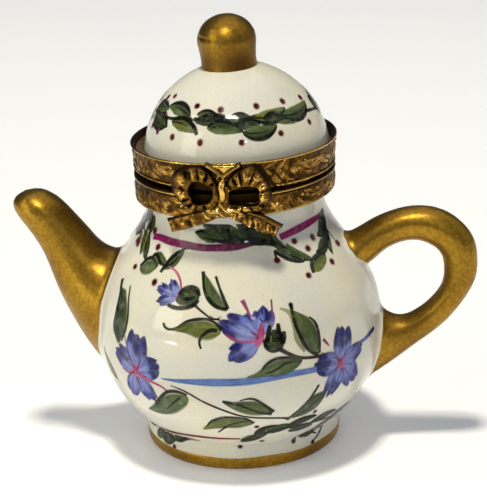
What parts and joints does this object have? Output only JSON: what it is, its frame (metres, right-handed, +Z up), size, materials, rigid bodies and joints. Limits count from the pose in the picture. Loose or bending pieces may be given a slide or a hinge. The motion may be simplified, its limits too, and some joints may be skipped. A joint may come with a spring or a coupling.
{
  "type": "teapot-shaped porcelain box",
  "caption": "Small teapot-shaped porcelain box with a hinged domed lid, brass bezels, a bow-shaped clasp, gilded spout and handle, and hand-painted sprigs.",
  "frame": {"origin": "on the table, on the axis of the pot and the middle of its foot ring", "axes": "+Z up, -Y towards the bow clasp at the front, +Y towards the hinge, -X towards the spout, +X towards the handle"},
  "size_m": [0.0675, 0.0414, 0.0635],
  "materials": {
    "porcelain": "clear glossy glaze over warm white porcelain, painted with sprigs and garlands",
    "gilded_porcelain": "brushed-on gold over glaze, satin and slightly worn",
    "antique_brass": "chased and darkened in the recesses, polished on the high spots",
    "setting_cement": "matt setting cement"
  },
  "bodies": {
    "pot": {"porcelain_body": "porcelain", "spout": "gilded_porcelain", "handle": "gilded_porcelain", "lower_setting_ring": "setting_cement", "lower_bezel": "antique_brass", "clasp_catch": "antique_brass", "hinge_leaf_lower": "antique_brass", "hinge_knuckle_lower_left": "antique_brass", "hinge_knuckle_lower_centre": "antique_brass", "hinge_knuckle_lower_right": "antique_brass", "hinge_pin": "antique_brass"},
    "lid": {"lid_dome": "porcelain", "knob": "gilded_porcelain", "upper_setting_ring": "setting_cement", "upper_bezel": "antique_brass", "hinge_leaf_upper": "antique_brass", "hinge_knuckle_upper_left": "antique_brass", "hinge_knuckle_upper_right": "antique_brass", "clasp_tongue": "antique_brass", "clasp_bow": "antique_brass"}
  },
  "joints": [
    {"name": "lid_hinge", "type": "hinge", "parent": "pot", "child": "lid", "pos_m": [0, 0.0158, 0.0418], "axis": [-1, 0, 0], "range_deg": [0, 105]}
  ]
}
